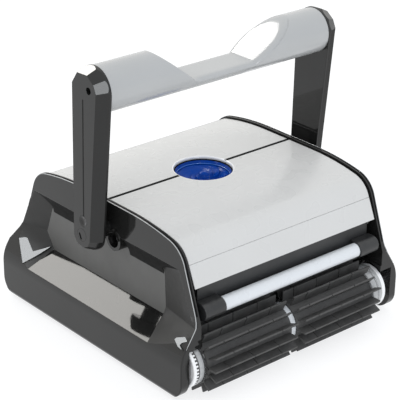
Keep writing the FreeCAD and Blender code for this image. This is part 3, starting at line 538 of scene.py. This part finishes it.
def wheel(end):
    """Belt wheel: bright disc whose castellated rim stands over the belt, a plain band, and the dark
    flange of the roller core."""
    outer, track, inner = TRACKS[end]
    place = about_x(SIGN[end] * AXLE_Y, AXLE_Z)
    bm = bmesh.new()
    turned(bm, [(outer + 3, 8.0), (outer + 3, 26.0), (outer + 2.4, 27.4), (outer + 0.4, 28.0), (outer, 28.6),
                (outer, 30.6), (outer + 0.3, 31.4), (outer + 1.1, 31.8), (track - 0.5, 31.8), (track, 31.3),
                (track + 0.1, 28.2), (inner, 28.2), (inner, 8.0)], place, WHEEL_STEPS)
    half = TOOTH_SHARE * 2 * math.pi / TEETH
    for mid in angles(TEETH):
        capped(bm, [[place(x, r, a) for r, a in
                     ((31.25, mid - half * h), (31.7, mid - half * h * 0.8), (31.85, mid),
                      (31.7, mid + half * h * 0.8), (31.25, mid + half * h))]
                    for x, h in ((track - 0.8, 1.0), (track + 2.3, 1.0), (track + 2.8, 0.8))])
    node = "drive_wheel_" + end
    stand_for(finish_mesh(bm, "wheel_disc_" + end, "white_plastic", 40, "white_bright"), node)
    turned_trim("wheel_band_" + end, "silver_plastic", BODY[node], place, WHEEL_STEPS, [
        [(inner + 0.1, 28.2), (inner + 0.1, 31.0), (inner + 0.6, 31.6), (-170.9, 31.6), (-170.4, 31.2),
         (-170.3, 28.2)]])
    turned_trim("core_flange_" + end, "dark_gloss", BODY[node], place, WHEEL_STEPS, [
        [(-170.2, 28.4), (-170.2, 32.2), (-169.6, 33.2), (-168.4, 32.8), (-167.6, 33.25), (-166.3, 33.25),
         (-165.7, 32.4), (-165.7, 28.4)]])


# ------------------------------------------------------------------ outlet and propeller
OUTLET_R = 41.5
HUB_R, TIP_R = 7.0, 36.6


def cup():
    """Blue duct: thin rolled lip, flared wall with a step, straight tube below; a pale blue bead on the
    step, a painted highlight along the wall, and the white ring round the lip."""
    place = about_z(0, 0)
    bm = bmesh.new()
    turned(bm, [(180.0, 41.1), (209.6, 41.1), (210.4, 40.9), (210.7, 40.4), (210.4, 39.9), (208.6, 39.3),
                (208.3, 38.8), (208.3, 38.2), (207.7, 37.7), (203.0, 37.2), (183.0, 37.2), (182.5, 8.0),
                (186.0, 7.6), (186.0, 2.7), (180.0, 2.7)], place, CUP_STEPS)
    stand_for(finish_mesh(bm, "cup_look", "blue_plastic", 50), "outlet_cup")
    # pale blue ring on the step: painted highlight
    bead = [(206.6 + 0.5 * math.sin(a), 37.6 + 0.5 * math.cos(a))
            for a in [math.radians(d) for d in range(0, 360, 30)]]
    turned_trim("cup_painted_highlight", "blue_plastic", "chassis", place, CUP_STEPS, [bead], 60, "painted_highlight_blue")
    turned_trim("outlet_trim", "white_plastic", "chassis", place, CUP_STEPS, [
        [(212.6, 41.55), (214.3, 41.45), (215.7, 42.3), (216.1, 43.0), (216.0, 43.6), (214.6, 42.4),
         (212.6, 42.0)]], 60, "white_bright")


def propeller():
    """Swirl of overlapping blades on a shallow cone, round a domed hub."""
    steps, blades, span = 252, 7, TIP_R - HUB_R

    def loop(r, height):
        return [Vector((r * math.cos(a), r * math.sin(a), height(r, a))) * MM for a in angles(steps)]

    def blade_top(r, a):
        """Each blade falls off slowly and the next one rises steeply beside it."""
        phase = ((a - 1.7 * math.log(r / 6.0)) * blades / (2 * math.pi)) % 1.0
        fall = phase if phase < 0.9 else (1 - phase) * 9
        out = (r - HUB_R) / span
        root, tip = 0.3 + 0.7 * min(out * 3, 1), 0.35 + 0.65 * min((1 - out) * 6, 1)
        return 207.0 - 1.5 * out - 4.5 * fall * root * tip

    def dome_ring(rise):
        return loop(7.2 * math.cos(rise), lambda r, a: 205.0 + 5.5 * math.sin(rise))

    bm = bmesh.new()
    sides = [loop(HUB_R + span * i / 34, blade_top) for i in range(35)]
    dome = [dome_ring(math.radians(15 * k)) for k in range(6)]
    under = [loop(r, lambda r, a, z=z: z) for r, z in ((TIP_R, 196.0), (8.0, 192.0), (8.0, 187.0))]
    capped(bm, dome[::-1] + sides + under)
    stand_for(finish_mesh(bm, "propeller", "blue_plastic", 28), "impeller")


# ------------------------------------------------------------------ handle pivots and side pockets
BUTTON_Y, BUTTON_Z = -4.5, 199.0
PIVOT = Vector((-1.0, 178.0))               # y, z
SLOT_AT, SLOT_LEAN, SLOT_HALF = Vector((3.4, -3.0)), Vector((0.432, 0.902)), 3.3
BROW_Z, BROW_RISE = 157.0, 17.0
POCKET_FLOOR_X, POCKET_Z = 0.1603, (0.06, 0.176)
TURN_IN, FACE_OUT = 0.13, 0.45              # least share of a satin wall's normal, inwards and outwards


def button(side):
    """Release button with a dished face, flush with the arm."""
    bm = bmesh.new()
    profile = ((202.0, 0.01), (202.0, 7.5), (212.8, 7.7), (212.95, 7.6), (212.85, 6.6), (212.4, 5.2),
               (211.7, 3.6), (211.3, 1.8), (211.2, 0.01))
    turned(bm, [(SIGN[side] * x, r) for x, r in profile], about_x(BUTTON_Y, BUTTON_Z), 64)
    stand_for(finish_mesh(bm, "button_" + side, "dark_gloss", 40), "lock_button_" + side)


def pivot_cap(side):
    """Flush cap over the pivot bolt, with a slanted key slot whose walls and floor are painted black as
    shade in the slot.
    """
    rings = []
    for x, r, slot in ((211.9, 9.1, 0), (212.5, 9.2, 0), (212.95, 9.2, 0), (213.0, 9.15, 0), (213.0, 1.7, 1),
                       (211.95, 1.65, 1), (211.95, 0.4, 1)):
        ring = []
        for a in angles(64):
            out = Vector((math.cos(a), math.sin(a)))
            spot = out * r
            if slot:
                spot += SLOT_AT + SLOT_LEAN * SLOT_HALF * min(max(out.dot(SLOT_LEAN) * 5, -1), 1)
            ring.append(Vector((SIGN[side] * x, PIVOT.x + spot.x, PIVOT.y + spot.y)) * MM)
        rings.append(ring)
    bm = bmesh.new()
    capped(bm, rings)
    obj = finish_mesh(bm, "pivot_cap_" + side, "dark_gloss", 40)
    # black on the slot's walls and floor is painted shade
    obj.data.materials.append(M["seal_and_painted_shade_black"])
    face_x, reach = 0.21299, 0.006
    for face in obj.data.polygons:
        if abs(face.center.x) < face_x and (face.center.yz - (PIVOT + SLOT_AT) * MM).length < reach:
            face.material_index = 1
    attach(obj, BODY["pivot_bolts"])


def painted_shade_strips(side):
    """Matt black fillets under the overhanging upper wall of a side pocket, before and behind the pivot:
    painted shade standing for the shadow under the overhang.
    """
    profile = ((160.15, 145.5), (160.9, 149.5), (162.6, 155.0), (165.8, 161.5), (170.0, 168.4),
               (174.0, 173.9))
    bm = bmesh.new()
    for low_y, high_y in (((-108.0, -36.8), (-153.5, -36.8)), ((35.8, 137.0), (35.8, 160.5))):
        rings = []
        for depth in (0.0, 0.5):
            for x, z in profile if depth == 0.0 else profile[::-1]:
                t = ramp(z - BROW_Z, BROW_RISE)
                y0, y1 = (low + (high - low) * t for low, high in zip(low_y, high_y))
                rings.append([Vector((SIGN[side] * (x - depth * 0.7), y, z + depth)) * MM
                              for y in (y0 + (y1 - y0) * k / 6 for k in range(7))])
        loops = ring_sheet(bm, rings, closed=False)
        for i in range(6):
            bm.faces.new((loops[-1][i], loops[-1][i + 1], loops[0][i + 1], loops[0][i]))
        bm.faces.new([loop[0] for loop in loops])
        bm.faces.new([loop[-1] for loop in loops])
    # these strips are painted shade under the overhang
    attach(finish_mesh(bm, "painted_shade_strips_" + side, "dark_matt", 50, "painted_shade_matt"), "chassis")


def corner_facets(side):
    """Flat facets laid over the rear and front lower corners of a side pocket."""
    rear = ((-186.5, 189.5, 93.1), (-178.6, 180.7, 95.7), (-183.7, 159.0, 82.2), (-164.2, 141.8, 90.5),
            (-178.7, 148.3, 81.5), (-190.0, 154.1, 74.9), (-201.2, 160.6, 68.5))
    front = ((-190.4, -166.4, 83.8), (-188.4, -167.6, 86.1), (-185.3, -181.3, 91.8), (-188.5, -189.5, 89.9),
             (-191.2, -182.1, 85.7), (-193.7, -180.5, 82.8), (-197.1, -188.3, 80.5), (-195.5, -178.8, 80.5))
    thick = 4.5
    bm = bmesh.new()
    for outline, normal in ((rear, Vector((-0.6, -0.32, 0.735))), (front, Vector((-0.72, 0.12, 0.68)))):
        normal.normalize()
        level = sum(normal.dot(Vector(q)) for q in outline) / len(outline)
        rings = []
        for sink in (0.0, thick):
            ring = []
            for q in outline:
                spot = Vector(q)
                spot += normal * (level - normal.dot(spot) - sink)
                ring.append(Vector((-SIGN[side] * spot.x, spot.y, spot.z)) * MM)
            rings.append(ring)
        capped(bm, rings)
    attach(finish_mesh(bm, "corner_facets_" + side, "dark_gloss", 20), "chassis")


def satin_pocket(panel):
    """Gives the pocket walls that turn inwards a satin finish, so that they mirror nothing ragged."""
    panel.data.materials.append(M["dark_satin"])
    for face in panel.data.polygons:
        x, y, z = face.center
        turn = face.normal.y * (-1 if y > 0 else 1)
        if (abs(x) > POCKET_FLOOR_X and POCKET_Z[0] < z < POCKET_Z[1] and turn > TURN_IN
                and face.normal.x * x > FACE_OUT * abs(x)):
            face.material_index = 1


# ------------------------------------------------------------------ small trim, with painted highlight and painted shade
def ring_trim(end):
    """Grey groove and pale band beside the plain end ring, and the pale collar at the end of the blades."""
    place = about_x(SIGN[end] * AXLE_Y, AXLE_Z)
    body = BODY["end_ring_" + end]
    turned_trim("ring_groove_" + end, "grey_plastic", body, place, RING_STEPS, [
        [(151.8, 27.0), (151.8, 29.6), (152.6, 30.2), (154.2, 30.2), (155.1, 29.4), (155.1, 27.0)]])
    turned_trim("ring_band_" + end, "silver_plastic", body, place, RING_STEPS, [
        [(155.2, 31.0), (155.2, 31.9), (155.6, 32.3), (160.9, 32.3), (161.4, 32.1), (161.6, 31.0)],
        [(142.0, 30.0), (142.0, 33.2), (142.6, 33.8), (150.9, 33.8), (151.6, 33.2), (151.6, 30.0)]])


# Outer X of a side panel's rim by height: lower and upper end in z, then x at each.
FLANK = ((118, 300, 174.5, 174.5), (109, 118, 175.9, 174.5), (101, 109, 180.0, 175.9),
         (82.5, 101, 192.0, 180.0), (68.5, 82.5, 199.3, 192.0), (0, 68.5, 202, 199.3))
RIM_CENTRE, RIM_R, RIM_BEND = (-50.0, -199.0), 417.5, math.radians(11.9)    # arc over the front lid
SHOULDER_R, SHOULDER_END = 41.1, math.radians(66.8)
REAR_CUT = 8                                # points of the shoulder that the rear leaves out
RIM_FOOT = (-193.4, 106.0)
INSIDE_Z = 100                              # height of a point well inside the rim
# size of the rim bead, whose pale colour is a painted highlight
HIGHLIGHT_BEAD_R, HIGHLIGHT_BEAD_IN = 0.62, 0.55
SEAL_FOOT_Z = 118.0


def flank(z):
    for low, high, x_low, x_high in FLANK:
        if z >= low:
            return x_low + (x_high - x_low) * (z - low) / (high - low)


def rim_path():
    """Points (y, z) of a side panel's rim, from the rear shoulder over the top to the front foot."""
    def arc(centre, r, a):
        return centre[0] - r * math.sin(a), centre[1] + r * math.cos(a)

    front = [arc(RIM_CENTRE, RIM_R, RIM_BEND * i / 12) for i in range(13)]
    corner = arc(RIM_CENTRE, RIM_R - SHOULDER_R, RIM_BEND)
    front += [arc(corner, SHOULDER_R, RIM_BEND + (SHOULDER_END - RIM_BEND) * i / 16) for i in range(1, 17)]
    rear = [(-y, z) for y, z in front[:-REAR_CUT]]
    (low_y, low_z), (foot_y, foot_z) = front[-1], RIM_FOOT
    front += [(low_y + (foot_y - low_y) * i / 12, low_z + (foot_z - low_z) * i / 12) for i in range(1, 13)]
    front += [(foot_y, foot_z - 2.5 * i) for i in range(1, 13)]
    return rear[::-1] + front


def rim_painted_highlight(side, path):
    """Polished pale bead along the outer rim of a side panel, thinning out at both ends: a painted highlight
    standing for the gleam on the rim's edge.
    """
    across = Vector((SIGN[side], 0, 0))
    last = len(path) - 1
    rings = []
    for i, (y, z) in enumerate(path):
        before, after = path[max(i - 1, 0)], path[min(i + 1, last)]
        along = Vector((0, after[0] - before[0], after[1] - before[1])).normalized()
        inward = Vector((0, along.z, -along.y))
        if inward.dot(Vector((0, -y, INSIDE_Z - z))) < 0:
            inward = -inward
        middle = Vector((SIGN[side] * (flank(z) - HIGHLIGHT_BEAD_IN), y, z)) + inward * HIGHLIGHT_BEAD_IN
        r = HIGHLIGHT_BEAD_R * min(1.0, 0.25 + min(i, last - i) / 8)
        rings.append([(middle + (across * math.cos(a) + inward * math.sin(a)) * r) * MM
                      for a in angles(12)])
    bm = bmesh.new()
    capped(bm, rings)
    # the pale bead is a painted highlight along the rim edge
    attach(finish_mesh(bm, "rim_painted_highlight_" + side, "silver_plastic", 60), "chassis")


def rim_seal(side, path):
    """Dark line between a side panel and the lids."""
    profile = ((173.2, -0.25), (173.1, 0.1), (172.8, 0.2), (170.5, 0.2), (170.25, 0.1), (170.2, -0.25))
    rings = []
    for (y, z), (y0, z0), (y1, z1) in zip(path[1:-1], path, path[2:]):
        if z > SEAL_FOOT_Z:
            outward = Vector((0, z1 - z0, y0 - y1)).normalized()
            if outward.dot(Vector((0, -y, INSIDE_Z - z))) > 0:
                outward = -outward
            rings.append([(Vector((SIGN[side] * x, y, z)) + outward * lift) * MM for x, lift in profile])
    bm = bmesh.new()
    capped(bm, rings)
    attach(finish_mesh(bm, "rim_seal_" + side, "black_rubber", 60, "seal_and_painted_shade_black"), "chassis")


def lid_painted_shade_lines():
    """Black rubber strips in the groove between the lids, reaching over the rear lid's rounded edge, and a
    black ring round the duct's lip: painted shade standing for the dark gaps there.
    """
    # the black strips and ring are painted shade in the gaps
    groove = ((-1.15, 211.5), (-1.15, 215.7), (-0.8, 215.9), (3.6, 215.9), (4.5, 215.8), (4.6, 211.5))
    lid_end, gap = 164.6, OUTLET_R + 0.6
    bm = bmesh.new()
    for ends in ((-lid_end, -gap), (gap, lid_end)):
        capped(bm, [[Vector((x, y, z)) * MM for y, z in groove] for x in ends])
    turned(bm, [(209.0, 41.45), (212.0, 41.45), (212.2, 41.0), (212.0, 40.2), (211.2, 39.8), (209.0, 40.6)],
           about_z(0, 0), CUP_STEPS)
    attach(finish_mesh(bm, "lid_painted_shade_lines", "black_rubber", 50, "seal_and_painted_shade_black"), "chassis")


# ------------------------------------------------------------------ pieces
SOFT_EDGES = (                              # edge width in mm, nodes
    (0.5, "lid_front lid_rear"), (0.4, "fascia_front fascia_rear"),
    (0.6, "bumper_bar_front bumper_bar_rear"), (1.2, "bumper_blocks"),
    (0.5, "end_ring_front end_ring_rear"), (0.3, "pivot_bolts"), (0.25, "panel_screws grip_screws"),
    (0.3, "brush_front_left brush_front_right brush_rear_left brush_rear_right"))

for width, nodes in SOFT_EDGES:
    for node in nodes.split():
        softened(node, width)
for side in SIDES:
    softened("handle_arm_" + side, 0.4, 18, 17)
    satin_pocket(softened("side_panel_" + side, 0.35, 22, 21))
    button(side)
    pivot_cap(side)
for end in ENDS:
    wheel(end)
    ring_trim(end)
    bpy.data.objects["end_ring_" + end + "_look"].data.materials[0] = M["white_bright"]
rim = rim_path()
for side in SIDES:
    rim_painted_highlight(side, rim)
    rim_seal(side, rim)
for shape in (painted_shade_strips, corner_facets):
    for side in SIDES:
        shape(side)
grip()
propeller()
cup()
lid_painted_shade_lines()
